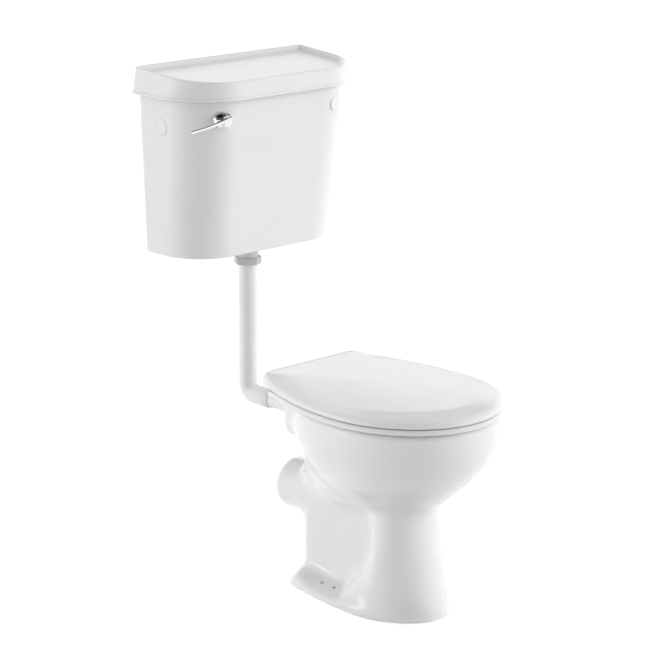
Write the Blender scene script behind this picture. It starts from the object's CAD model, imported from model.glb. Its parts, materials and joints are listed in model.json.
"""Looks of the low level toilet: glazed pan, moulded cistern, seat and pipe, chrome lever."""
import json
import math

import bmesh
import bpy
import numpy as np
from mathutils import Matrix, Vector
from mathutils.geometry import convex_hull_2d


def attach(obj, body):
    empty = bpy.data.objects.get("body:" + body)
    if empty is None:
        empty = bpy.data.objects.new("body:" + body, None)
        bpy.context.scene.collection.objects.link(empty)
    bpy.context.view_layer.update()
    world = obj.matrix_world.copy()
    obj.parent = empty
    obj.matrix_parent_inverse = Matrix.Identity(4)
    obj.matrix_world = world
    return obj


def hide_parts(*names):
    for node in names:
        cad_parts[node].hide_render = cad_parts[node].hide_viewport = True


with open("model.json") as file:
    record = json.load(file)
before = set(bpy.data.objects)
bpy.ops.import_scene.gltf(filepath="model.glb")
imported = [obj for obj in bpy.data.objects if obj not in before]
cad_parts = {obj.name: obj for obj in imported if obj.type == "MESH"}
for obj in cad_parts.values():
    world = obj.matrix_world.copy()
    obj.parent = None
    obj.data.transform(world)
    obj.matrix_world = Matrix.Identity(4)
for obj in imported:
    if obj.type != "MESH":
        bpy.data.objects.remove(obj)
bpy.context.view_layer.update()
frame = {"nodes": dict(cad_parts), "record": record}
NODES = frame["nodes"]
MM = 0.001
FRAME_PIXELS = 665
UP = Vector((0, 0, 1))


# Camera

CAMERA = {"place": (-3.0758, -3.2216, 1.7503), "turns": (43.078, -15.395, 0.258), "focal_pixels": 2405.1,
          "sensor": 36}


def aim_camera():
    """A far viewpoint on the front left, above the cistern."""
    yaw, pitch, roll = degrees(*CAMERA["turns"])
    ahead = Vector((math.cos(pitch) * math.sin(yaw), math.cos(pitch) * math.cos(yaw), math.sin(pitch)))
    level = ahead.cross(UP).normalized()
    upright = level.cross(ahead)
    right = level * math.cos(roll) + upright * math.sin(roll)
    up = upright * math.cos(roll) - level * math.sin(roll)
    lens = bpy.data.cameras.new("viewpoint")
    lens.sensor_fit = "HORIZONTAL"
    lens.sensor_width = CAMERA["sensor"]
    lens.lens = CAMERA["focal_pixels"] * lens.sensor_width / FRAME_PIXELS
    camera = bpy.data.objects.new("viewpoint", lens)
    turned = Matrix((right, up, -ahead)).transposed().to_4x4()
    camera.matrix_world = Matrix.Translation(CAMERA["place"]) @ turned
    bpy.context.collection.objects.link(camera)
    bpy.context.scene.camera = camera


# Node helpers

def add_node(tree, kind, **settings):
    """A node with its properties and input values set by name."""
    node = tree.nodes.new(kind)
    for name, value in settings.items():
        if hasattr(node, name):
            setattr(node, name, value)
        else:
            node.inputs[name.replace("_", " ")].default_value = value
    return node


def join(tree, start, output, end, entry):
    """Link an output of one node to an input of another, each by name or by number."""
    tree.links.new(start.outputs[output], end.inputs[entry])


def noise_on(tree, place, scale, detail=2.0):
    """Noise on the piece's own metres."""
    noise = add_node(tree, "ShaderNodeTexNoise", Scale=scale, Detail=detail)
    join(tree, place, "Object", noise, "Vector")
    return noise


NOISE_SPAN = (0.3, 0.7)
RIPPLE_DEPTH = 0.001
GRAIN_DEPTH = 0.0002


def ranged(tree, source, low, high):
    """The noise stretched between two values."""
    reach = add_node(tree, "ShaderNodeMapRange", From_Min=NOISE_SPAN[0], From_Max=NOISE_SPAN[1],
                     To_Min=low, To_Max=high)
    join(tree, source, "Fac", reach, "Value")
    return reach


def finish(name, colour, rough, tint=0.02, tint_scale=9.0, rough_spread=0.03, rough_scale=30.0,
           ripple=0.02, ripple_scale=60.0, grain=0.0, grain_scale=900.0, metal=0.0, coat=0.0,
           coat_rough=0.05, specular=0.5):
    """A finish with cloudy tint, uneven gloss and a fine ripple, all on the piece's own metres."""
    material = bpy.data.materials.new(name)
    material.use_nodes = True
    tree = material.node_tree
    shader = tree.nodes["Principled BSDF"]
    shader.inputs["Metallic"].default_value = metal
    shader.inputs["Coat Weight"].default_value = coat
    shader.inputs["Coat Roughness"].default_value = coat_rough
    shader.inputs["Specular IOR Level"].default_value = specular
    place = add_node(tree, "ShaderNodeTexCoord")
    cloud = noise_on(tree, place, tint_scale)
    shade = add_node(tree, "ShaderNodeMix", data_type="RGBA")
    shade.inputs["A"].default_value = (*[part * (1 - tint) for part in colour], 1)
    shade.inputs["B"].default_value = (*colour, 1)
    join(tree, ranged(tree, cloud, 0.0, 1.0), "Result", shade, "Factor")
    join(tree, shade, "Result", shader, "Base Color")
    worn = noise_on(tree, place, rough_scale, 4.0)
    join(tree, ranged(tree, worn, rough - rough_spread, rough + rough_spread), "Result", shader, "Roughness")
    wave = noise_on(tree, place, ripple_scale)
    bump = add_node(tree, "ShaderNodeBump", Strength=ripple, Distance=RIPPLE_DEPTH)
    join(tree, wave, "Fac", bump, "Height")
    if grain:
        speckle = noise_on(tree, place, grain_scale)
        fine = add_node(tree, "ShaderNodeBump", Strength=grain, Distance=GRAIN_DEPTH)
        join(tree, speckle, "Fac", fine, "Height")
        join(tree, bump, "Normal", fine, "Normal")
        bump = fine
    join(tree, bump, "Normal", shader, "Normal")
    return material


def make_finishes():
    """Every finish by the name of its slot."""
    white = (0.83, 0.83, 0.83)
    return {
        "ceramic": finish("white_glaze", white, 0.16, ripple=0.03, ripple_scale=22,
                          coat=0.6, coat_rough=0.04),
        "cistern_plastic": finish("cistern_moulding", white, 0.24, ripple=0.012, ripple_scale=35, grain=0.02),
        "seat_plastic": finish("seat_moulding", white, 0.20, ripple=0.012, ripple_scale=30),
        "pipe_plastic": finish("pipe_plastic", (0.85, 0.85, 0.85), 0.32, ripple=0.02, grain=0.03),
        "fitting_plastic": finish("nut_plastic", (0.56, 0.56, 0.56), 0.42, tint=0.06, grain=0.06),
        "inner_plastic": finish("inner_plastic", (0.76, 0.75, 0.72), 0.45, tint=0.05, grain=0.06),
        "chrome": finish("chrome_plate", (0.86, 0.86, 0.87), 0.05, tint=0.04, rough_spread=0.02, metal=1.0,
                         ripple=0.004, ripple_scale=200),
        "steel": finish("plain_steel", (0.56, 0.56, 0.57), 0.30, tint=0.12, tint_scale=160, rough_spread=0.08,
                        metal=1.0, grain=0.05, grain_scale=1600),
        "bracket_plastic": finish("bracket_plastic", (0.80, 0.80, 0.79), 0.30, grain=0.03),
        "rubber": finish("grey_rubber", (0.60, 0.60, 0.59), 0.62, tint=0.10, tint_scale=80, grain=0.10,
                         specular=0.3),
    }


# Light

# Levels by direction: bearings in degrees from the viewer's own, heights as sines of the angle upwards
SKY = {"ambient": 0.49, "left": 5.3, "right": 5.1, "wall_starts": (66, 78), "wall_ends": (88, 128),
       "left_top": (0.34, 0.46), "right_top": (0.46, 0.66), "behind_object": 0.58, "rear_top": (0.25, 0.6),
       "top": 0.20, "top_starts": (0.48, 0.95), "top_lean": 0.25}
MIRRORED = {"backdrop": 0.86, "by_viewer": 0.10, "viewer_edge": (38, 62),
            "overhead": 0.10, "overhead_starts": (0.30, 0.52),
            "left_box": 3.6, "left_span": (-92, -89, -71, -67),
            "right_box": 0.2, "right_span": (95, 101, 120, 132), "box_top": (0.04, 0.12),
            "rear_panel": 0.55, "rear_edge": (125, 150),
            "panel_low": (0.11, 0.18), "panel_high": (0.32, 0.42)}
FLOOR = {"dark": 0.76, "pale": 0.88, "edge": (45, 75), "shadow": 0.20, "glow": 0.90,
         "reach": 40, "height": -0.001}
VIEW_TURN = math.radians(43)
# Where the left wall's light gives way to the right wall's, in radians to each side of the viewer
SIDES_MEET = (-0.2, 0.2)


def bearing(tree, place, output):
    """A direction's parts with Y away from the viewer, its bearing rightwards, and that unsigned."""
    turned = add_node(tree, "ShaderNodeMapping", vector_type="POINT")
    turned.inputs["Rotation"].default_value = (0, 0, VIEW_TURN)
    join(tree, place, output, turned, "Vector")
    parts = add_node(tree, "ShaderNodeSeparateXYZ")
    join(tree, turned, "Vector", parts, "Vector")
    towards = add_node(tree, "ShaderNodeMath", operation="MULTIPLY")
    towards.inputs[1].default_value = -1.0
    join(tree, parts, "Y", towards, 0)
    angle = add_node(tree, "ShaderNodeMath", operation="ARCTAN2")
    join(tree, parts, "X", angle, 0)
    join(tree, towards, "Value", angle, 1)
    away = add_node(tree, "ShaderNodeMath", operation="ABSOLUTE")
    join(tree, angle, "Value", away, 0)
    return parts, angle, away


def eased(tree, source, output, span, start, finish_at):
    """A soft step from one level to another."""
    step = add_node(tree, "ShaderNodeMapRange", interpolation_type="SMOOTHSTEP",
                    From_Min=span[0], From_Max=span[1], To_Min=start, To_Max=finish_at)
    join(tree, source, output, step, "Value")
    return step


def combined(tree, operation, *sources):
    """Levels added or multiplied together."""
    total = sources[0]
    for source in sources[1:]:
        step = add_node(tree, "ShaderNodeMath", operation=operation)
        join(tree, total, 0, step, 0)
        join(tree, source, 0, step, 1)
        total = step
    return total


def degrees(*span):
    """Angles given in degrees, in radians."""
    return [math.radians(angle) for angle in span]


def seen_directly(tree):
    """The kinds of ray, and those that look straight: the viewer's, off a gloss or through a clear piece."""
    rays = add_node(tree, "ShaderNodeLightPath")
    seen = add_node(tree, "ShaderNodeMath", operation="MAXIMUM")
    join(tree, rays, "Is Camera Ray", seen, 0)
    join(tree, rays, "Is Glossy Ray", seen, 1)
    either = add_node(tree, "ShaderNodeMath", operation="MAXIMUM")
    join(tree, seen, "Value", either, 0)
    join(tree, rays, "Is Transmission Ray", either, 1)
    return rays, either


def soft_box(tree, angle, parts, level, span):
    """A bright upright panel between two bearings."""
    return combined(tree, "MULTIPLY", eased(tree, angle, "Value", degrees(*span[:2]), 0.0, level),
                    eased(tree, angle, "Value", degrees(*span[2:]), 1.0, 0.0),
                    eased(tree, parts, "Z", MIRRORED["box_top"], 1.0, 0.0))


def mirrored_room(tree, parts, angle, away):
    """What a gloss shows: the white backdrop, the panels, and the dim sides overhead and by the viewer."""
    room = combined(tree, "MULTIPLY", eased(tree, away, "Value", degrees(*MIRRORED["viewer_edge"]),
                                            MIRRORED["by_viewer"], MIRRORED["backdrop"]),
                    eased(tree, parts, "Z", MIRRORED["overhead_starts"], 1.0, MIRRORED["overhead"]))
    rear = combined(tree, "MULTIPLY", eased(tree, away, "Value", degrees(*MIRRORED["rear_edge"]),
                                            0.0, MIRRORED["rear_panel"]),
                    eased(tree, parts, "Z", MIRRORED["panel_low"], 0.0, 1.0),
                    eased(tree, parts, "Z", MIRRORED["panel_high"], 1.0, 0.0))
    return combined(tree, "ADD", room, rear,
                    soft_box(tree, angle, parts, MIRRORED["left_box"], MIRRORED["left_span"]),
                    soft_box(tree, angle, parts, MIRRORED["right_box"], MIRRORED["right_span"]))


def light_the_room():
    """A white studio: bright walls left and right, a pale backdrop, dim above and by the viewer."""
    world = bpy.data.worlds.new("studio")
    bpy.context.scene.world = world
    world.use_nodes = True
    tree = world.node_tree
    tree.nodes.clear()
    out = add_node(tree, "ShaderNodeOutputWorld")
    lit = add_node(tree, "ShaderNodeBackground", Strength=1.0)
    shown = add_node(tree, "ShaderNodeBackground", Strength=1.0)
    place = add_node(tree, "ShaderNodeTexCoord")
    parts, angle, away = bearing(tree, place, "Generated")
    left = combined(tree, "MULTIPLY", eased(tree, angle, "Value", SIDES_MEET, SKY["left"], 0.0),
                    eased(tree, parts, "Z", SKY["left_top"], 1.0, 0.0))
    right = combined(tree, "MULTIPLY", eased(tree, angle, "Value", SIDES_MEET, 0.0, SKY["right"]),
                     eased(tree, parts, "Z", SKY["right_top"], 1.0, 0.0))
    walls = combined(tree, "MULTIPLY", combined(tree, "ADD", left, right),
                     eased(tree, away, "Value", degrees(*SKY["wall_starts"]), 0.0, 1.0),
                     eased(tree, away, "Value", degrees(*SKY["wall_ends"]), 1.0, 0.0))
    rear = combined(tree, "MULTIPLY",
                    eased(tree, away, "Value", degrees(*SKY["wall_ends"]), 0.0, SKY["behind_object"]),
                    eased(tree, parts, "Z", SKY["rear_top"], 1.0, 0.0))
    lean = add_node(tree, "ShaderNodeMath", operation="MULTIPLY_ADD")
    lean.inputs[1].default_value = SKY["top_lean"]
    join(tree, parts, "Y", lean, 0)
    join(tree, parts, "Z", lean, 2)
    above = eased(tree, lean, "Value", SKY["top_starts"], SKY["ambient"], SKY["ambient"] + SKY["top"])
    join(tree, combined(tree, "ADD", above, walls, rear), 0, lit, "Color")
    rays, seen = seen_directly(tree)
    hidden = add_node(tree, "ShaderNodeMath", operation="SUBTRACT")
    hidden.inputs[0].default_value = 1.0
    join(tree, rays, "Is Camera Ray", hidden, 1)
    room = combined(tree, "MULTIPLY", mirrored_room(tree, parts, angle, away), hidden)
    white = add_node(tree, "ShaderNodeMath", operation="MAXIMUM")
    join(tree, room, 0, white, 0)
    join(tree, rays, "Is Camera Ray", white, 1)
    join(tree, white, 0, shown, "Color")
    pick = add_node(tree, "ShaderNodeMixShader")
    join(tree, seen, "Value", pick, "Fac")
    join(tree, lit, "Background", pick, 1)
    join(tree, shown, "Background", pick, 2)
    join(tree, pick, "Shader", out, "Surface")


def lay_the_floor():
    """A wide white floor that keeps a faint shadow."""
    mesh = bpy.data.meshes.new("floor")
    corners = [(x * FLOOR["reach"], y * FLOOR["reach"], FLOOR["height"])
               for x, y in ((-1, -1), (1, -1), (1, 1), (-1, 1))]
    mesh.from_pydata(corners, [], [(0, 1, 2, 3)])
    floor = bpy.data.objects.new("floor", mesh)
    bpy.context.collection.objects.link(floor)
    material = bpy.data.materials.new("pale_floor")
    material.use_nodes = True
    tree = material.node_tree
    tree.nodes.clear()
    out = add_node(tree, "ShaderNodeOutputMaterial")
    matt = add_node(tree, "ShaderNodeBsdfDiffuse")
    place = add_node(tree, "ShaderNodeTexCoord")
    away = bearing(tree, place, "Object")[-1]
    tone = eased(tree, away, "Value", degrees(*FLOOR["edge"]), FLOOR["dark"], FLOOR["pale"])
    join(tree, tone, "Result", matt, "Color")
    shadow = FLOOR["shadow"]
    faint = add_node(tree, "ShaderNodeBsdfDiffuse", Color=(shadow, shadow, shadow, 1))
    glow = add_node(tree, "ShaderNodeEmission", Strength=FLOOR["glow"])
    both = add_node(tree, "ShaderNodeAddShader")
    join(tree, faint, "BSDF", both, 0)
    join(tree, glow, "Emission", both, 1)
    seen = seen_directly(tree)[-1]
    pick = add_node(tree, "ShaderNodeMixShader")
    join(tree, seen, "Value", pick, "Fac")
    join(tree, matt, "BSDF", pick, 1)
    join(tree, both, "Shader", pick, 2)
    join(tree, pick, "Shader", out, "Surface")
    mesh.materials.append(material)


def dress_nodes(finishes):
    """Every CAD node takes the finish of its slot in the record."""
    for part in frame["record"]["subparts"]:
        mesh = NODES[part["node"]].data
        mesh.materials.clear()
        mesh.materials.append(finishes[part["material_slot"]])


# Shaping helpers

def show(name, mesh, finish_of, body, *nodes, crease=50):
    """Put a finished mesh in the scene: smooth, dressed, riding on its body in place of its CAD nodes."""
    piece = bpy.data.objects.new(name, mesh)
    bpy.context.collection.objects.link(piece)
    mesh.materials.clear()
    mesh.materials.append(finishes[finish_of])
    mesh.set_sharp_from_angle(angle=math.radians(crease))
    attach(piece, body)
    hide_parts(*nodes)
    return piece


def from_work(name, work):
    """A smooth mesh from worked geometry, shaded by its own faces."""
    mesh = bpy.data.meshes.new(name)
    work.to_mesh(mesh)
    work.free()
    stored_normals = mesh.attributes.get("custom_normal")
    if stored_normals:
        mesh.attributes.remove(stored_normals)
    mesh.shade_smooth()
    return mesh


def merged(node):
    """A CAD node's triangles with their corners joined."""
    work = bmesh.new()
    work.from_mesh(NODES[node].data)
    bmesh.ops.remove_doubles(work, verts=work.verts, dist=1e-5)
    return work


def add_rod(work, start, end, radius, sides=24):
    """A closed round bar between two points."""
    start, end = Vector(start), Vector(end)
    turn = (end - start).to_track_quat("Z", "Y").to_matrix().to_4x4()
    bmesh.ops.create_cone(work, cap_ends=True, segments=sides, radius1=radius, radius2=radius,
                          depth=(end - start).length, matrix=Matrix.Translation((start + end) / 2) @ turn)


def add_block(work, low, high):
    """A closed box between two corners."""
    low, high = Vector(low), Vector(high)
    spread = Matrix.Diagonal((*(high - low), 1))
    bmesh.ops.create_cube(work, size=1, matrix=Matrix.Translation((low + high) / 2) @ spread)


def through_modifiers(mesh, *modifiers):
    """The mesh after modifiers, each given as (kind, settings)."""
    piece = bpy.data.objects.new("working", mesh)
    bpy.context.collection.objects.link(piece)
    for kind, settings in modifiers:
        modifier = piece.modifiers.new(kind.lower(), kind)
        for name, value in settings.items():
            setattr(modifier, name, value)
    ready = piece.evaluated_get(bpy.context.evaluated_depsgraph_get())
    result = bpy.data.meshes.new_from_object(ready)
    bpy.data.objects.remove(piece)
    return result


def carved(mesh, cutter_work):
    """The mesh less the cutters."""
    cutter = bpy.data.objects.new("cutter", from_work("cutter", cutter_work))
    bpy.context.collection.objects.link(cutter)
    settings = {"operation": "DIFFERENCE", "object": cutter, "solver": "EXACT"}
    result = through_modifiers(mesh, ("BOOLEAN", settings))
    bpy.data.objects.remove(cutter)
    return result


def read_points(mesh, what="co"):
    """The place of every corner of the mesh, or its normal, in rows."""
    values = np.empty(len(mesh.vertices) * 3)
    mesh.vertices.foreach_get(what, values)
    return values.reshape(-1, 3)


def move_points(mesh, points):
    """Put every corner of the mesh at its new place."""
    mesh.vertices.foreach_set("co", points.ravel())
    mesh.update()


def ramp(value, low, high):
    """From 0 at the low value to 1 at the high one."""
    return np.clip((value - low) / (high - low), 0, 1)


def all_round(count):
    """Equal turns round a full circle."""
    return np.linspace(0, 2 * math.pi, count, endpoint=False)


def outward(work):
    """Turn every face to the outside."""
    bmesh.ops.recalc_face_normals(work, faces=work.faces)


def skin(work, rings):
    """Faces over rings of points, closed at both ends."""
    loops = [[work.verts.new(point) for point in ring] for ring in rings]
    for low, high in zip(loops, loops[1:]):
        for k in range(len(low)):
            work.faces.new((low[k - 1], low[k], high[k], high[k - 1]))
    work.faces.new(list(reversed(loops[0])))
    work.faces.new(loops[-1])


def shrinking(ring):
    """Smaller and smaller copies of a ring, towards its middle."""
    ring = np.array(ring)
    middle = ring.mean(axis=0)
    return [[tuple(point) for point in middle + (ring - middle) * share] for share in (0.8, 0.5, 0.2, 0.01)]


def evenly(points, count):
    """A closed outline resampled at equal steps along itself."""
    points = np.asarray(points)
    closed = np.vstack([points, points[:1]])
    along = np.concatenate([[0], np.cumsum(np.linalg.norm(np.diff(closed, axis=0), axis=1))])
    at = np.linspace(0, along[-1], count, endpoint=False)
    return np.stack([np.interp(at, along, closed[:, axis]) for axis in range(2)], axis=1)


def smooth_profile(stations, count):
    """A profile's points joined by a smooth line, at even steps along it."""
    stations = np.asarray(stations, float)
    along = np.concatenate([[0], np.cumsum(np.linalg.norm(np.diff(stations, axis=0), axis=1))])
    slopes = np.gradient(stations, along, axis=0)
    at = np.linspace(0, along[-1], count)
    k = np.clip(np.searchsorted(along, at, side="right") - 1, 0, len(along) - 2)
    step = (along[k + 1] - along[k])[:, None]
    t = ((at - along[k])[:, None]) / step
    return ((2 * t ** 3 - 3 * t ** 2 + 1) * stations[k] + (t ** 3 - 2 * t ** 2 + t) * step * slopes[k]
            + (3 * t ** 2 - 2 * t ** 3) * stations[k + 1] + (t ** 3 - t ** 2) * step * slopes[k + 1])


def node_tree(name, **inputs):
    """A Geometry Nodes tree with named inputs, and the node that gives them."""
    tree = bpy.data.node_groups.new(name, "GeometryNodeTree")
    tree.interface.new_socket("Geometry", in_out="INPUT", socket_type="NodeSocketGeometry")
    for label, value in inputs.items():
        kind = "NodeSocketInt" if isinstance(value, int) else "NodeSocketFloat"
        socket = tree.interface.new_socket(label.replace("_", " "), in_out="INPUT", socket_type=kind)
        socket.default_value = value
    tree.interface.new_socket("Geometry", in_out="OUTPUT", socket_type="NodeSocketGeometry")
    return tree, tree.nodes.new("NodeGroupInput")


def close_tree(tree, last, output, finish_of):
    """Every tree ends alike: real geometry, in its finish."""
    real = add_node(tree, "GeometryNodeRealizeInstances")
    join(tree, last, output, real, "Geometry")
    dressed = add_node(tree, "GeometryNodeSetMaterial", Material=finishes[finish_of])
    join(tree, real, "Geometry", dressed, "Geometry")
    join(tree, dressed, "Geometry", tree.nodes.new("NodeGroupOutput"), "Geometry")


def grown(tree, mesh, sizes, *modifiers):
    """The plain mesh that a tree makes from a path or from places, at the given sizes."""
    piece = bpy.data.objects.new("working", mesh)
    bpy.context.collection.objects.link(piece)
    growth = piece.modifiers.new("growth", "NODES")
    growth.node_group = tree
    for item in tree.interface.items_tree:
        if item.in_out == "INPUT" and item.name in sizes:
            growth[item.identifier] = sizes[item.name]
    result = bpy.data.meshes.new_from_object(piece.evaluated_get(bpy.context.evaluated_depsgraph_get()))
    piece.modifiers.remove(growth)
    bpy.data.objects.remove(piece)
    result.shade_smooth()
    return through_modifiers(result, *modifiers) if modifiers else result


def path_of(points):
    """A bare path through points."""
    mesh = bpy.data.meshes.new("path")
    mesh.from_pydata([tuple(point) for point in points], [(k, k + 1) for k in range(len(points) - 1)], [])
    return mesh


def tube_tree(finish_of):
    """A round tube along a path, with its corners bent to a radius."""
    tree, given = node_tree("tube_along_path", Tube_Radius=PIPE["radius"], Bend_Radius=PIPE["bend"],
                            Bend_Steps=14, Sides=56)
    line = add_node(tree, "GeometryNodeMeshToCurve")
    join(tree, given, "Geometry", line, "Mesh")
    bent = add_node(tree, "GeometryNodeFilletCurve", mode="POLY")
    join(tree, line, "Curve", bent, "Curve")
    join(tree, given, "Bend Radius", bent, "Radius")
    join(tree, given, "Bend Steps", bent, "Count")
    round_section = add_node(tree, "GeometryNodeCurvePrimitiveCircle")
    join(tree, given, "Tube Radius", round_section, "Radius")
    join(tree, given, "Sides", round_section, "Resolution")
    tube = add_node(tree, "GeometryNodeCurveToMesh")
    join(tree, bent, "Curve", tube, "Curve")
    join(tree, round_section, "Curve", tube, "Profile Curve")
    close_tree(tree, tube, "Mesh", finish_of)
    return tree


def pads_tree(finish_of):
    """A low tapered pad on each place."""
    tree, given = node_tree("pads_on_places", Pad_Radius=0.007, Tip_Radius=0.006, Pad_Height=0.003,
                            Sides=28)
    pad = add_node(tree, "GeometryNodeMeshCone")
    join(tree, given, "Pad Radius", pad, "Radius Bottom")
    join(tree, given, "Tip Radius", pad, "Radius Top")
    join(tree, given, "Pad Height", pad, "Depth")
    join(tree, given, "Sides", pad, "Vertices")
    places = add_node(tree, "GeometryNodeMeshToPoints")
    join(tree, given, "Geometry", places, "Mesh")
    copies = add_node(tree, "GeometryNodeInstanceOnPoints")
    join(tree, places, "Points", copies, "Points")
    join(tree, pad, "Mesh", copies, "Instance")
    close_tree(tree, copies, "Instances", finish_of)
    return tree


# Pan

FLOW = {"steps": 420, "normals_every": 4, "across": 0.5, "along": 0.25}


def flow(mesh, fill, round_off):
    """Let the surface settle like glaze: hollows fill and edges round, each by its share."""
    points = read_points(mesh)
    count = len(points)
    edges = np.empty(len(mesh.edges) * 2, int)
    mesh.edges.foreach_get("vertices", edges)
    one, two = edges.reshape(-1, 2).T
    mesh.calc_loop_triangles()
    corners = np.empty(len(mesh.loop_triangles) * 3, int)
    mesh.loop_triangles.foreach_get("vertices", corners)
    corners = corners.reshape(-1, 3)
    degree = np.bincount(one, minlength=count) + np.bincount(two, minlength=count)
    fill, round_off = fill(points)[:, None], round_off(points)[:, None]

    def gathered(index, values):
        return np.stack([np.bincount(index, values[:, axis], count) for axis in range(3)], axis=1)

    for step in range(FLOW["steps"]):
        if step % FLOW["normals_every"] == 0:
            first, second, third = (points[corners[:, k]] for k in range(3))
            facing = np.cross(second - first, third - first)
            normals = sum(gathered(corners[:, k], facing) for k in range(3))
            normals /= np.maximum(np.linalg.norm(normals, axis=1, keepdims=True), 1e-12)
        middle = (gathered(one, points[two]) + gathered(two, points[one])) / degree[:, None]
        pull = middle - points
        height = (pull * normals).sum(1, keepdims=True)
        settled = np.where(height > 0, fill, round_off) * height * normals
        points = points + FLOW["across"] * settled + FLOW["along"] * (pull - height * normals)
    move_points(mesh, points)


# The foot's shoulder: its height at the edge, its rise inwards and towards the back, and where it counts
FOOT = {"edge": 0.0195, "rise": 0.12, "back_rise": 0.016, "back_span": (0.03, 0.10),
        "front_span": (-0.085, -0.045), "facing_up": (0.25, 0.5), "floor": 0.002, "top": 0.05}


def foot_slope(mesh):
    """Lower the foot's shoulder to the slope that its screw holes stand on."""
    points, normals = read_points(mesh), read_points(mesh, "normal")
    base = points[points[:, 2] < FOOT["floor"], :2]
    edge = base[convex_hull_2d([Vector(spot) for spot in base])]
    inside = np.full(len(points), np.inf)
    for one, two in zip(edge, np.roll(edge, -1, axis=0)):
        along = two - one
        across = np.array([-along[1], along[0]]) / max(np.linalg.norm(along), 1e-9)
        inside = np.minimum(inside, np.abs((points[:, :2] - one) @ across))
    slope = FOOT["edge"] + FOOT["rise"] * inside + FOOT["back_rise"] * ramp(points[:, 1], *FOOT["back_span"])
    shoulder = ramp(normals[:, 2], *FOOT["facing_up"]) * ramp(points[:, 1], *FOOT["front_span"])
    shoulder *= points[:, 2] < FOOT["top"]
    points[:, 2] -= shoulder * np.maximum(points[:, 2] - slope, 0)
    move_points(mesh, points)


FLANK = {"forward": 0.026, "middle": -0.075, "reach": 0.085, "low": (0.046, 0.085), "high": (0.15, 0.195),
         "outside": (0.045, 0.050)}


def column_flank(mesh):
    """Bring the back of the column's sides forward: steep above, spreading only near the floor."""
    points = read_points(mesh)
    height = ramp(points[:, 2], *FLANK["low"]) * (1 - ramp(points[:, 2], *FLANK["high"]))
    place = np.clip(1 - np.abs(points[:, 1] - FLANK["middle"]) / FLANK["reach"], 0, 1)
    outside = ramp(np.abs(points[:, 0]), *FLANK["outside"])
    points[:, 1] -= FLANK["forward"] * height * outside * place * place * (3 - 2 * place)
    move_points(mesh, points)


RIM = {"lift": 0.0036, "height": (0.34, 0.395), "deck": (0.055, 0.075)}


def lift_rim(mesh):
    """Stretch the rim up to the seat, in front of the deck."""
    points = read_points(mesh)
    rising = ramp(points[:, 2], *RIM["height"])
    points[:, 2] += RIM["lift"] * rising * (1 - ramp(points[:, 1], *RIM["deck"]))
    move_points(mesh, points)


# Rounded bodies in mm: place along the pan, half width at the foot and at the head, low and high
TRAP_SIDE = [(-110, 66, 112, 187, 335), (-60, 73, 122, 178, 345), (-15, 76, 116, 172, 352),
             (20, 70, 106, 165, 358), (45, 62, 96, 160, 362), (75, 56, 72, 165, 365), (94, 51, 56, 190, 365)]
DECK_SIDE = [(-10, 140, 147, 316, 378), (20, 134, 141, 316, 378), (40, 124, 130, 318, 378),
             (60, 113, 118, 320, 378), (80, 104, 107, 322, 378), (88, 99, 101, 324, 378)]
FAIRING_SQUARENESS = 2.6


def add_fairing(work, sections):
    """A rounded body along the pan, which carries the bowl's side on to what stands behind it."""
    turns = all_round(64)
    squarish = 2 / FAIRING_SQUARENESS
    across = np.sign(np.cos(turns)) * np.abs(np.cos(turns)) ** squarish
    upward = np.sign(np.sin(turns)) * np.abs(np.sin(turns)) ** squarish
    rings = []
    for y, foot_half, head_half, low, high in smooth_profile(sections, 30):
        half = (foot_half + head_half) / 2 + (head_half - foot_half) / 2 * upward
        level = (low + high) / 2 + (high - low) / 2 * upward
        rings.append([(x * MM, y * MM, z * MM) for x, z in zip(half * across, level)])
    skin(work, rings)


# How much hollows fill and edges round, and the spans of y and z where each place on the pan begins or ends
GLAZE = {"anywhere": 0.08, "below_rim": (0.366, 0.384), "bowl_y": (-0.10, -0.04), "bowl_z": (0.20, 0.24),
         "outlet": 0.35, "outlet_y": (0.03, 0.07), "outlet_z": (0.07, 0.11),
         "foot": 0.22, "foot_z": (0.055, 0.08),
         "edges": 0.02, "foot_edge": 0.10, "foot_edge_low": (0.004, 0.012), "foot_edge_high": (0.04, 0.06)}


def hollows_fill(points):
    """Hollows fill beside the bowl, less by the outlet and the foot, and not at the rim."""
    along, height = points[:, 1], points[:, 2]
    beside_bowl = ramp(along, *GLAZE["bowl_y"]) * ramp(height, *GLAZE["bowl_z"])
    by_outlet = ramp(along, *GLAZE["outlet_y"]) * ramp(height, *GLAZE["outlet_z"])
    by_foot = 1 - ramp(height, *GLAZE["foot_z"])
    most = np.maximum.reduce([np.full(len(points), GLAZE["anywhere"]), beside_bowl,
                              GLAZE["outlet"] * by_outlet, GLAZE["foot"] * by_foot])
    return (1 - ramp(height, *GLAZE["below_rim"])) * most


def edges_round(points):
    """Edges round a little everywhere, and more on the foot."""
    height = points[:, 2]
    on_foot = ramp(height, *GLAZE["foot_edge_low"]) * (1 - ramp(height, *GLAZE["foot_edge_high"]))
    return GLAZE["edges"] + GLAZE["foot_edge"] * on_foot


# The screw holes are plugged before the surface settles and drilled again after it
PAN = {"screw_x": 0.072, "screw_y": 0.0175, "plug": (0.001, 0.0445), "plug_radius": 0.0055,
       "drill": (-0.01, 0.08), "drill_radius": 0.0037, "voxel": 0.004}


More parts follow.
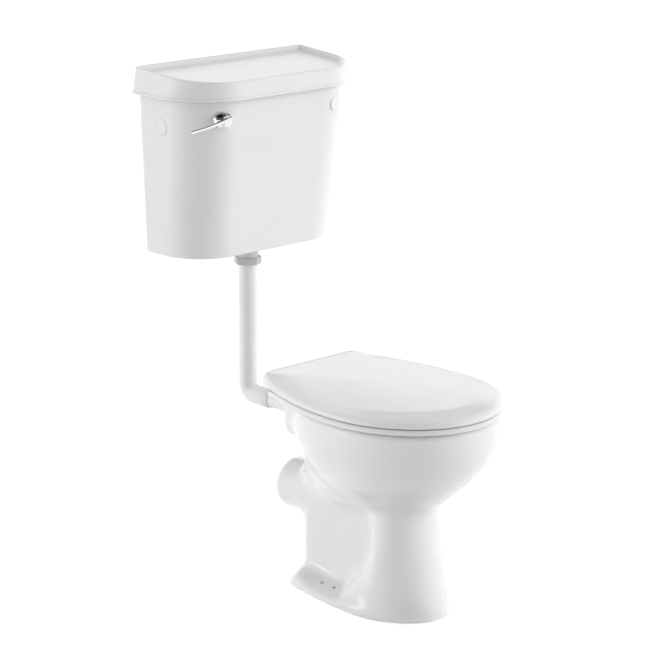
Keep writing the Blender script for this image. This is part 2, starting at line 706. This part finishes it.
def make_pan():
    """The pan as one glazed casting: the CAD form with its joins run together and its edges eased."""
    screw_places = [(x * PAN["screw_x"], y * PAN["screw_y"]) for x in (-1, 1) for y in (-1, 1)]
    work = merged("pan")
    for x, y in screw_places:
        low, high = PAN["plug"]
        add_rod(work, (x, y, low), (x, y, high), PAN["plug_radius"])
    add_fairing(work, TRAP_SIDE)
    add_fairing(work, DECK_SIDE)
    outward(work)
    voxels = ("REMESH", {"mode": "VOXEL", "voxel_size": PAN["voxel"]})
    mesh = through_modifiers(from_work("pan", work), voxels)
    foot_slope(mesh)
    column_flank(mesh)
    mesh = through_modifiers(mesh, voxels)
    flow(mesh, hollows_fill, edges_round)
    lift_rim(mesh)
    holes = bmesh.new()
    for x, y in screw_places:
        low, high = PAN["drill"]
        add_rod(holes, (x, y, low), (x, y, high), PAN["drill_radius"], 20)
    mesh = carved(mesh, holes)
    mesh.shade_smooth()
    show("pan_glaze", mesh, "ceramic", "fixed", "pan")


# Seat

# Sizes of the seat from above and of its lid in mm, reaches being distances from the wall
WALL = 400
SEAT = {"half": 185, "back_half": 130, "back": 262, "front": 727, "widest": 515, "corner": 20}
OUTLINE_STEPS = {"straight": 12, "corner": 16, "side": 40, "front": 50, "whole": 420}
LID = {"low": 418.4, "top": 443.0, "edge": 3.4, "middle": 490, "crown": (400, 560), "hollow_inset": 60,
       "hollow_top": 15.6}
# The lid's border by distance from the wall: width and height of its round edge, then of the whole border
BORDER = ((262, 4, 20.0, 5, 21.0), (284, 13, 18.4, 24, 21.0), (312, 14, 17.6, 44, 21.6),
          (350, 14, 17.0, 44, 21.4), (388, 13, 16.2, 36, 20.4), (438, 12, 15.2, 23, 18.4),
          (494, 12, 14.8, 20, 17.4), (550, 13, 15.4, 27, 18.4), (598, 14, 16.4, 34, 19.8),
          (663, 16, 18.0, 40, 21.6), (727, 16, 18.4, 40, 22.1))
BORDER_EASE = 25
EDGE_ROUNDNESS = 0.86
# The lid's lower lip and hollow underside as (inset, height)
LID_LIP = ((0.1, 2.4), (0.6, 0.9), (1.8, 0.0))
LID_HOLLOW = ((4.5, 0.0), (4.5, 4.9), (5.2, 8.1), (11.7, 10.3), (28.0, 13.0), (47.0, 15.0), (60.0, 15.5))
# Notches over the hinge brackets, ears on the hinge pins and seats of the soft pads, in metres
NOTCH = {"across": (0.0437, 0.0944), "low": (0.126, 0.405), "high": (0.142, 0.428)}
EAR = {"across": 0.1028, "half": 0.008, "pin": (0.126, 0.420), "radius": 0.006,
       "low": (0.102, 0.420), "high": (0.130, 0.4370)}
PAD_SEAT = {"low": 0.4162, "high": 0.434, "radius": 0.007}
PAD_SPOTS = ((0.147, -0.070), (0.105, -0.240))
RING = {"lift": 0.0040, "hinge": 0.095, "ease": 0.02, "crease": 24}


def seat_outline():
    """The seat from above, as (x, distance from the wall): straight back, swelling sides, oval front."""
    s, steps = SEAT, OUTLINE_STEPS
    flare = math.atan2(2 * (s["half"] - s["back_half"]), s["widest"] - s["back"] - s["corner"])
    turns = np.linspace(0, math.pi / 2 - flare, steps["corner"])
    corner_x = s["back_half"] - s["corner"]
    straight = [(x, s["back"]) for x in np.linspace(0, corner_x, steps["straight"], endpoint=False)]
    corner = [(corner_x + s["corner"] * math.sin(t), s["back"] + s["corner"] * (1 - math.cos(t)))
              for t in turns]
    side_x, side_reach = corner[-1]
    shares = np.linspace(0, 1, steps["side"])[1:-1]
    side = [(side_x + (s["half"] - side_x) * (1 - (1 - t) ** 2), side_reach + (s["widest"] - side_reach) * t)
            for t in shares]
    front = [(s["half"] * math.cos(t), s["widest"] + (s["front"] - s["widest"]) * math.sin(t))
             for t in np.linspace(0, math.pi / 2, steps["front"])]
    half = straight + corner + side + front
    return evenly(half + [(-x, reach) for x, reach in reversed(half[1:-1])], steps["whole"])


def drawn_in(outline, inset):
    """The seat's outline drawn in all round."""
    length = SEAT["front"] - SEAT["back"]
    x = outline[:, 0] * (1 - inset / SEAT["half"])
    reach = SEAT["front"] - inset - (SEAT["front"] - outline[:, 1]) * (1 - inset * 2 / length)
    return np.stack([x, reach], axis=1)


def evened(values, width):
    """Values along a closed outline, each blended with its neighbours."""
    weights = np.hanning(width + 2)[1:-1]
    around = np.concatenate([values[-width:], values, values[:width]])
    return np.convolve(around, weights / weights.sum(), "same")[width:-width]


def wall_points(outline, height):
    """An outline's points at one height, or each at its own, in metres."""
    heights = np.broadcast_to(height, len(outline))
    return [(x * MM, (WALL - reach) * MM, z * MM) for (x, reach), z in zip(outline, heights)]


def lid_rings():
    """The lid's skin from the middle of its crown, over the border and the lip, into its hollow."""
    outline = seat_outline()
    low, top, edge, middle = LID["low"], LID["top"], LID["edge"], np.array([0.0, LID["middle"]])
    stations = np.array(BORDER)
    edge_wide, edge_tall, wide, tall = (
        evened(np.interp(outline[:, 1], stations[:, 0], stations[:, k]), BORDER_EASE) for k in range(1, 5))
    inward = np.stack([np.zeros(len(outline)), np.clip(outline[:, 1], *LID["crown"])], axis=1) - outline
    inward /= np.linalg.norm(inward, axis=1, keepdims=True)

    def ring(inset, height):
        return wall_points(outline + inward * np.reshape(inset, (-1, 1)), low + height)

    border = []
    for share in np.linspace(0, 1, 22) ** 2:
        rise = math.sqrt(1 - (1 - EDGE_ROUNDNESS * share) ** 2) / math.sqrt(1 - (1 - EDGE_ROUNDNESS) ** 2)
        border.append(ring(edge_wide * share, edge + (edge_tall - edge) * rise))
    for share in np.linspace(0, 1, 12)[1:]:
        border.append(ring(edge_wide + (wide - edge_wide) * share, edge_tall + (tall - edge_tall) * share))
    shoulder = outline + inward * wide[:, None]
    crown = [wall_points(middle + (shoulder - middle) * share, top - (top - low - tall) * share ** 2)
             for share in (0.02, 0.2, 0.4, 0.6, 0.75, 0.88, 0.96)]
    lip = [ring(inset, height) for inset, height in LID_LIP]
    hollow = [wall_points(drawn_in(outline, inset), low + height) for inset, height in LID_HOLLOW]
    under = drawn_in(outline, LID["hollow_inset"])
    hollow += [wall_points(middle + (under - middle) * share, low + LID["hollow_top"])
               for share in (0.9, 0.6, 0.3, 0.02)]
    return crown + border[::-1] + lip + hollow


def make_seat_lid():
    """The lid: a thin upright edge, a border that rounds up to a broad low crown, hollow below."""
    work = bmesh.new()
    skin(work, lid_rings())
    outward(work)
    notches = bmesh.new()
    for side in (-1, 1):
        left, right = sorted(side * across for across in NOTCH["across"])
        add_block(notches, (left, *NOTCH["low"]), (right, *NOTCH["high"]))
    mesh = carved(from_work("seat_lid", work), notches)
    work = bmesh.new()
    work.from_mesh(mesh)
    for side in (-1, 1):
        left, right = side * EAR["across"] - EAR["half"], side * EAR["across"] + EAR["half"]
        add_rod(work, (left, *EAR["pin"]), (right, *EAR["pin"]), EAR["radius"], 32)
        add_block(work, (left, *EAR["low"]), (right, *EAR["high"]))
        for across, y in PAD_SPOTS:
            x = side * across
            add_rod(work, (x, y, PAD_SEAT["low"]), (x, y, PAD_SEAT["high"]), PAD_SEAT["radius"], 28)
    show("seat_lid_moulding", from_work("seat_lid_moulding", work), "seat_plastic", "lid", "seat_lid")


def make_seat_ring():
    """The ring, lifted with the rim in front of its hinge."""
    work = merged("seat_ring")
    for corner in work.verts:
        ahead = min(max((RING["hinge"] - corner.co.y) / RING["ease"], 0), 1)
        corner.co.z += RING["lift"] * ahead
    mesh = from_work("seat_ring_moulding", work)
    show("seat_ring_moulding", mesh, "seat_plastic", "seat", "seat_ring", crease=RING["crease"])


# Cistern lid

def wall_outline(half, depth, front_radius, back_radius, gap=0.0, count=360):
    """A D shape against the wall, as (x, distance from the wall), from the middle of its back."""
    def bend(x, reach, radius, start):
        return [(x + radius * math.sin(start + t), reach - radius * math.cos(start + t))
                for t in np.linspace(0, math.pi / 2, 24)]
    right = [(0, gap)] + bend(half - back_radius, gap + back_radius, back_radius, 0) \
        + bend(half - front_radius, depth - front_radius, front_radius, math.pi / 2) + [(0, depth)]
    return evenly(right + [(-x, reach) for x, reach in reversed(right[1:-1])], count)


# The cistern's lid in mm, with what it loses from its foot to its top
COVER = {"low": 961.99, "tall": 52.0, "half": 225, "depth": 203, "front_radius": 116, "back_radius": 8,
         "least_radius": 4, "half_loss": 9, "depth_loss": 2, "radius_loss": 13, "rim": 3.2, "back_share": 0.4,
         "tray_gap": 1.3, "tray_spread": 1.35}
COVER_FALL = math.tan(math.radians(4.4))
# The bead round its foot as (inset, height)
BEAD = ((4.0, 0.0), (0.9, 0.0), (0.25, 0.3), (0.0, 0.9), (0.0, 3.6), (0.3, 4.4), (1.3, 4.9), (1.7, 5.6))
# The tray as (inset, depth below the rim, share of the rim's fall)
TRAY = ((3.2, 0.0, 1.0), (4.6, 0.3, 1.0), (6.2, 1.8, 1.0), (8.6, 4.6, 0.97), (12, 7.2, 0.94), (17, 8.8, 0.92),
        (26, 9.6, 0.9), (38, 10.0, 0.9))
# The underside as (share of the losses, inset, height, share of the fall, gap to the wall)
UNDERSIDE = ((0.1, 4, 4, 0.0, 4), (0.9, 4, 40, 0.9, 4), (1, 6, 43, 1.0, 5), (1, 10, 39, 0.85, 6),
             (1, 15, 34, 0.75, 10), (1, 22, 32, 0.65, 16), (1, 31, 31.5, 0.62, 24))
# The opening at its back, low and high corner in metres
BACK_OPENING = ((-0.2116, 0.3948, 0.950), (0.2116, 0.410, 0.98949))


def cover_ring(share, inset, height, sloped, gap=0.0):
    """One level of the cistern's lid, all round."""
    back_radius = max(COVER["back_radius"] - inset * COVER["back_share"], COVER["least_radius"])
    outline = wall_outline(COVER["half"] - COVER["half_loss"] * share - inset,
                           COVER["depth"] - COVER["depth_loss"] * share - inset,
                           COVER["front_radius"] - COVER["radius_loss"] * share - inset, back_radius, gap)
    return wall_points(outline, COVER["low"] + height - sloped * outline[:, 1] * COVER_FALL)


def make_cistern_lid():
    """The cistern's lift-off lid: beaded skirt, round rim that falls to the front, sunken tray."""
    tall, rim = COVER["tall"], COVER["rim"]
    rings = [cover_ring(0, inset, height, 0) for inset, height in BEAD]
    bead_inset, bead_top = BEAD[-1]
    rings += [cover_ring(share, bead_inset * (1 - share), bead_top + (tall - bead_top - rim) * share, share)
              for share in np.linspace(0.12, 1.0, 12)]
    for turn in np.linspace(0, math.pi / 2, 9)[1:]:
        inset = rim * (1 - math.cos(turn))
        rings.append(cover_ring(1, inset, tall - rim + rim * math.sin(turn), 1, inset * COVER["back_share"]))
    tray = smooth_profile([(inset, tall - depth, sloped) for inset, depth, sloped in TRAY], 26)
    rings += [cover_ring(1, inset, height, sloped, COVER["tray_gap"] + (inset - rim) * COVER["tray_spread"])
              for inset, height, sloped in tray[1:]]
    outside = rings + shrinking(rings[-1])
    inside = [cover_ring(*level) for level in UNDERSIDE]
    inside += shrinking(inside[-1])
    work = bmesh.new()
    skin(work, outside[::-1] + inside)
    outward(work)
    back = bmesh.new()
    add_block(back, *BACK_OPENING)
    mesh = carved(from_work("cistern_lid", work), back)
    mesh.shade_smooth()
    show("cistern_lid_moulding", mesh, "cistern_plastic", "cistern_cover", "cistern_lid")


# Lever

# The middle of the lever's hole, the way out of the wall there and the way along it
LEVER_AT = Vector((-0.1434316, 0.2181635, 0.924))
LEVER_OUT = Vector((-0.3007058, -0.953717, 0))
LEVER_ACROSS = Vector((0.953717, -0.3007058, 0))
# The boss as (radius, way out) about its middle, and the blade's run as (along the wall, up), in mm
DOME_AT = (-6.2, 2.0)
DOME = ((16.9, -0.5), (16.9, 0.8), (16.6, 2.0), (15.9, 3.8), (14.5, 6.2), (12.4, 8.5), (9.6, 10.4),
        (6.4, 11.7), (3.2, 12.4), (0.2, 12.6))
BLADE_RUN = ((9.0, 7.9), (-6.0, 2.4), (-34.0, -6.9), (-60.0, -13.2), (-73.5, -15.9))
BLADE = {"out": 16.5, "tip_in": 3.0, "stub": (2, 15), "stub_radius": 0.005}
BLADE_SIZES = {"Blade Height": 0.0060, "Blade Depth": 0.0050, "Tip Share": 0.72, "Edge Radius": 0.0013}


def on_lever(across, up, out):
    """A point by the lever's boss: along the wall, up it and out of it, in mm."""
    return LEVER_AT + (LEVER_ACROSS * across + UP * up + LEVER_OUT * out) * MM


def blade_tree(finish_of):
    """A squared bar along a path, with eased edges, slimmer towards its tip."""
    tree, given = node_tree("bar_along_path", Blade_Height=0.006, Blade_Depth=0.005, Tip_Share=0.7,
                            Edge_Radius=0.001)
    line = add_node(tree, "GeometryNodeMeshToCurve")
    join(tree, given, "Geometry", line, "Mesh")
    level = add_node(tree, "GeometryNodeSetCurveNormal", mode="Z_UP")
    join(tree, line, "Curve", level, "Curve")
    along = add_node(tree, "GeometryNodeSplineParameter")
    slimmer = add_node(tree, "ShaderNodeMapRange", To_Min=1.0)
    join(tree, along, "Factor", slimmer, "Value")
    join(tree, given, "Tip Share", slimmer, "To Max")
    tapered = add_node(tree, "GeometryNodeSetCurveRadius")
    join(tree, level, "Curve", tapered, "Curve")
    join(tree, slimmer, "Result", tapered, "Radius")
    section = add_node(tree, "GeometryNodeCurvePrimitiveQuadrilateral")
    join(tree, given, "Blade Depth", section, "Width")
    join(tree, given, "Blade Height", section, "Height")
    eased_section = add_node(tree, "GeometryNodeFilletCurve", mode="POLY", Count=5)
    join(tree, section, "Curve", eased_section, "Curve")
    join(tree, given, "Edge Radius", eased_section, "Radius")
    bar = add_node(tree, "GeometryNodeCurveToMesh", Fill_Caps=True)
    join(tree, tapered, "Curve", bar, "Curve")
    join(tree, eased_section, "Curve", bar, "Profile Curve")
    close_tree(tree, bar, "Mesh", finish_of)
    return tree


def make_lever():
    """A domed chrome boss and a slim squared blade that sags a little towards its tip."""
    dome_along, dome_up = DOME_AT
    work = merged("lever_bush")
    skin(work, [[on_lever(dome_along + radius * math.cos(t), dome_up + radius * math.sin(t), out)
                 for t in all_round(48)] for radius, out in DOME])
    outward(work)
    show("lever_boss", from_work("lever_boss", work), "chrome", "fixed", "lever_bush")
    run = smooth_profile(BLADE_RUN, 24)
    shares = np.linspace(0, 1, len(run))
    line = path_of([on_lever(across, up, BLADE["out"] - BLADE["tip_in"] * share)
                    for (across, up), share in zip(run, shares)])
    blade = bmesh.new()
    blade.from_mesh(grown(blade_tree("chrome"), line, BLADE_SIZES))
    stub_start, stub_end = (on_lever(0, 0, out) for out in BLADE["stub"])
    add_rod(blade, stub_start, stub_end, BLADE["stub_radius"])
    outward(blade)
    show("lever_blade", from_work("lever_blade", blade), "chrome", "lever", "lever_handle")


# Blanking discs

# Each blanked hole: the way out of the wall, its middle, and the disc's radius and height in mm
SIDE_WAY = Vector((-0.99924, 0, -0.0390))
CORNER_DIP = math.radians(2.2)
CORNER_OUT = Vector((-LEVER_OUT.x, LEVER_OUT.y, 0))
CORNER_WAY = (CORNER_OUT * math.cos(CORNER_DIP) - UP * math.sin(CORNER_DIP)).normalized()
DISCS = (("side_inlet_plug", SIDE_WAY, Vector((-0.2071, 0.330, 0.904)), 17.5, 1.6),
         ("spare_lever_plug", CORNER_WAY, Vector((0.1434316, 0.2181635, 0.924)), 14.3, 1.1))
# A disc's edge and face as (share of its radius, share of its height)
DISC_STEPS = ((1.0, -1.5), (1.0, 0.4), (0.985, 0.7), (0.95, 0.85), (0.67, 0.95), (0.33, 1.0), (0.02, 1.0))


def make_discs():
    """The two blanked holes: low discs with an eased edge, proud of the wall."""
    for node, out, middle, radius, proud in DISCS:
        across = out.cross(UP).normalized()
        rise_way = across.cross(out)
        round_it = [across * math.cos(t) + rise_way * math.sin(t) for t in all_round(56)]
        work = merged(node)
        skin(work, [[middle + way * radius * share * MM + out * proud * height * MM for way in round_it]
                    for share, height in DISC_STEPS])
        outward(work)
        show(node + "_face", from_work(node + "_face", work), "cistern_plastic", "fixed", node)


# Flush pipe

PIPE = {"back": 0.317, "front": 0.261, "top": 0.611, "inlet": 0.335, "radius": 0.019, "bend": 0.022,
        "wall": 0.0025}
# The collar as (radius, distance along the pan) in mm
COLLAR = ((15.6, 261.0), (17.2, 260.8), (17.2, 259.6), (19.2, 259.2), (19.4, 258.6), (19.4, 252.0),
          (19.0, 251.3), (18.3, 251.0), (18.2, 245.0), (17.6, 244.2), (15.6, 244.0))


def make_pipe():
    """The flush bend: one plastic tube down from the cistern and round to the pan."""
    corners = (("back", "top"), ("back", "inlet"), ("front", "inlet"))
    route = path_of([(0, PIPE[y], PIPE[z]) for y, z in corners])
    sizes = {"Tube Radius": PIPE["radius"], "Bend Radius": PIPE["bend"]}
    walled = ("SOLIDIFY", {"thickness": PIPE["wall"], "offset": -1.0})
    mesh = grown(tube_tree("pipe_plastic"), route, sizes, walled)
    show("flush_pipe", mesh, "pipe_plastic", "fixed", "flush_bend")


def make_seal():
    """The collar that closes the bend on the thinner tube, with a groove where it meets the bend."""
    work = bmesh.new()
    skin(work, [[(radius * MM * math.cos(t), y * MM, PIPE["inlet"] + radius * MM * math.sin(t))
                 for t in all_round(56)] for radius, y in COLLAR])
    outward(work)
    show("bend_collar", from_work("bend_collar", work), "pipe_plastic", "fixed", "bend_seal")


# Buffers

# The pads of each body: its node, their middle height and their thickness, in metres
BUFFERS = (("seat", "seat_buffers", 0.4038, 0.0034), ("lid", "lid_buffers", 0.4170, 0.0040))
PAD = {"Pad Radius": 0.0060, "Tip Radius": 0.0068}
PAD_PLACES = [(side * across, y) for side in (-1, 1) for across, y in PAD_SPOTS]


def make_buffers():
    """The soft pads: four that rest the ring on the rim, four that rest the lid on the ring."""
    for body, node, low, tall in BUFFERS:
        places = bpy.data.meshes.new("places")
        places.from_pydata([(x, y, low) for x, y in PAD_PLACES], [], [])
        mesh = grown(pads_tree("rubber"), places, {**PAD, "Pad Height": tall})
        show(node + "_pads", mesh, "rubber", body, node)


finishes = make_finishes()
dress_nodes(finishes)
make_pan()
make_seat_lid()
make_seat_ring()
make_cistern_lid()
make_lever()
make_discs()
make_pipe()
make_seal()
make_buffers()
aim_camera()
light_the_room()
lay_the_floor()
bpy.context.scene.view_settings.view_transform = "Standard"
